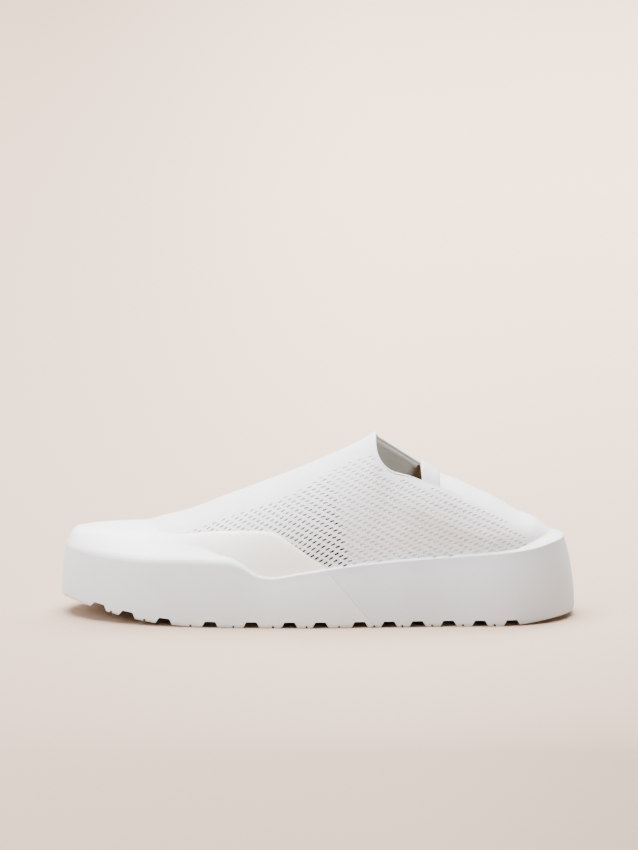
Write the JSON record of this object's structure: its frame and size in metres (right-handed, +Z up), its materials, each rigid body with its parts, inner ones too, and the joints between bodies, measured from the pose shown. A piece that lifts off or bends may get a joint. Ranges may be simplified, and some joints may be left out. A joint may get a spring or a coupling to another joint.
{
  "type": "slip-on shoe",
  "caption": "Left slip-on knit clog: moulded lugged cup sole, hollow knit upper, film round the toe, folded elastic heel panel with a ribbed band.",
  "frame": {"origin": "on the ground under the middle of the shoe's box", "axes": "+Z up, the toe points along -X, the outer (lateral) side of the left foot is -Y"},
  "size_m": [0.3, 0.1144, 0.107],
  "materials": {
    "sole_foam": "smooth moulded foam, satin",
    "sole_foam_rear": "smooth moulded foam, satin",
    "insole_foam": "matte brushed cloth on foam",
    "knit": "matte engineered knit with slanted holes",
    "film": "satin bonded film",
    "stretch_fabric": "smooth matte stretch fabric",
    "rib_knit": "ribbed knit"
  },
  "bodies": {
    "root": {"sole_front": "sole_foam", "sole_rear": "sole_foam_rear", "insole": "insole_foam", "upper": "knit", "toe_film": "film", "heel_panel": "stretch_fabric", "rib_band": "rib_knit"}
  },
  "joints": []
}
